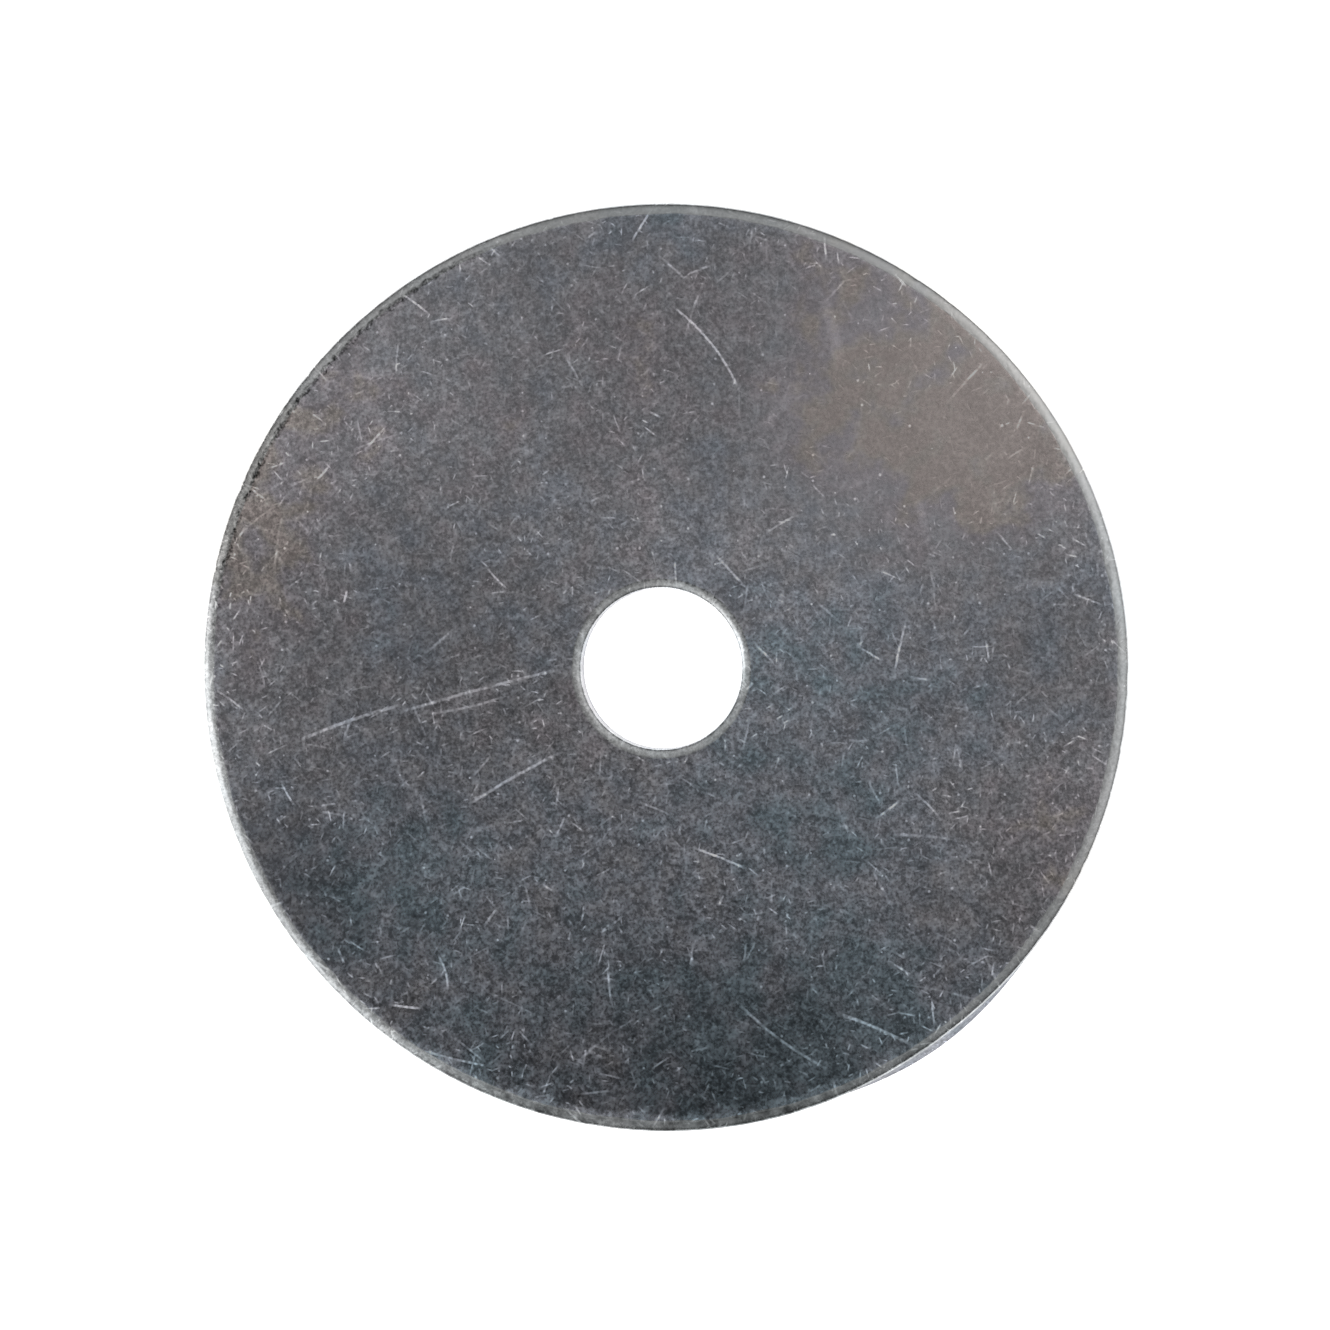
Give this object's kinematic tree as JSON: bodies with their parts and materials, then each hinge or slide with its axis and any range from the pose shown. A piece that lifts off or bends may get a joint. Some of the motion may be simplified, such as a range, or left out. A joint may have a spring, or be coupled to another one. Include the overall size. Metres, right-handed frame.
{
  "type": "flat washer",
  "caption": "Large-diameter flat repair washer in bright zinc-plated steel, which spreads a bolt's clamping load over thin or soft material.",
  "frame": {"origin": "on the hole's axis, in the plane of the lower flat face (the crisp-edged side)", "axes": "+Z along the hole's axis, out of the upper face (the side with the rolled edges); X and Y are any two directions across the washer, which is round"},
  "size_m": [0.05, 0.05, 0.0025],
  "materials": {
    "zinc_plated_steel": "bright zinc plate with a faint blue passivate, tumbled: fine random scratches and nicks"
  },
  "bodies": {
    "root": {"washer": "zinc_plated_steel"}
  },
  "joints": []
}
